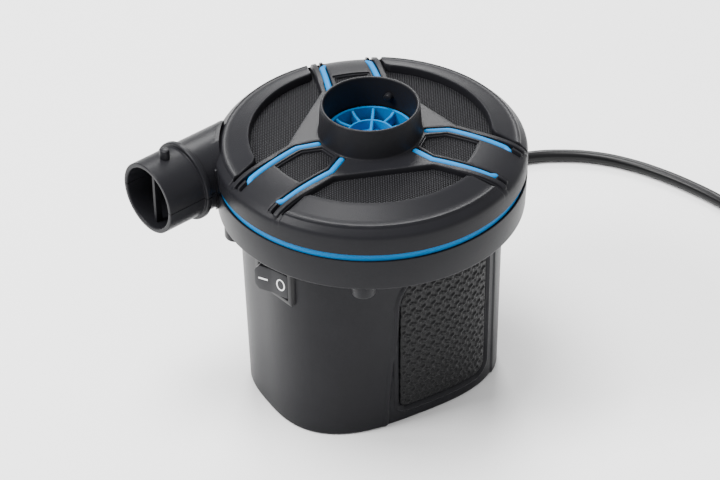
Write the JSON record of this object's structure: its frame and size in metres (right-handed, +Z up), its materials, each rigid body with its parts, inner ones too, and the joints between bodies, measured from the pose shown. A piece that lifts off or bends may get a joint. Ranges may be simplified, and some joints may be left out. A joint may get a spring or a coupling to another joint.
{
  "type": "mains air pump",
  "caption": "Mains-powered inflating and deflating air pump: flat fan drum on an oval motor body, inlet collar on top, outlet tube at the side, rocker switch and coiled lead.",
  "frame": {"origin": "middle of the base underside, on the fan axis", "axes": "+Z up along the fan axis, -X along the outlet tube towards its open end"},
  "size_m": [0.3898, 0.1834, 0.1386],
  "materials": {
    "black_plastic": "finely textured moulded black plastic",
    "dark_plastic": "smooth dark grey moulded plastic",
    "blue_plastic": "blue moulded plastic, satin",
    "rubber": "soft black rubber with a raised grip pattern",
    "cord_pvc": "smooth black flexible PVC",
    "steel": "plated steel",
    "lamination": "stacked electrical steel sheets",
    "copper": "varnished copper wire",
    "brass": "stamped brass",
    "carbon": "pressed carbon"
  },
  "bodies": {
    "housing": {"accent_strip_a_left": "blue_plastic", "accent_strip_a_right": "blue_plastic", "accent_strip_b_left": "blue_plastic", "accent_strip_b_right": "blue_plastic", "accent_strip_c_left": "blue_plastic", "accent_strip_c_right": "blue_plastic", "base_plate": "black_plastic", "base_screw_1": "steel", "base_screw_2": "steel", "base_screw_3": "steel", "base_screw_4": "steel", "body_shell": "black_plastic", "brush_holder_back": "brass", "brush_holder_front": "brass", "carbon_brush_back": "carbon", "carbon_brush_front": "carbon", "coil_tie": "cord_pvc", "cord_coil": "cord_pvc", "cord_plug_run": "cord_pvc", "cord_run": "cord_pvc", "field_coil_back": "copper", "field_coil_front": "copper", "grip_pad_left": "rubber", "grip_pad_right": "rubber", "housing_screw_1": "steel", "housing_screw_2": "steel", "housing_screw_3": "steel", "housing_screw_4": "steel", "lower_bearing": "steel", "lower_housing": "black_plastic", "lower_motor_frame": "black_plastic", "plug_body": "cord_pvc", "plug_pin_1": "steel", "plug_pin_2": "steel", "rim_screw_1": "steel", "rim_screw_2": "steel", "rim_screw_3": "steel", "rim_screw_4": "steel", "stator_core": "lamination", "strain_relief": "cord_pvc", "switch_housing": "dark_plastic", "switch_terminal_1": "brass", "switch_terminal_2": "brass", "top_cover": "black_plastic", "trim_ring": "blue_plastic", "upper_bearing": "steel", "upper_motor_frame": "black_plastic"},
    "rotor": {"impeller": "blue_plastic", "impeller_cap": "blue_plastic", "impeller_nut": "steel", "impeller_washer": "steel", "motor_shaft": "steel", "armature_core": "lamination", "upper_end_winding": "copper", "lower_end_winding": "copper", "commutator": "copper"},
    "rocker": {"switch_rocker": "dark_plastic"}
  },
  "joints": [
    {"name": "fan_spin", "type": "hinge", "parent": "housing", "child": "rotor", "pos_m": [0, 0, 0.107], "axis": [0, 0, 1], "continuous": true},
    {"name": "rocker_tilt", "type": "hinge", "parent": "housing", "child": "rocker", "pos_m": [-0.0546, -0.0023, 0.0772], "axis": [0, 0, -1], "range_deg": [0, 36]}
  ]
}
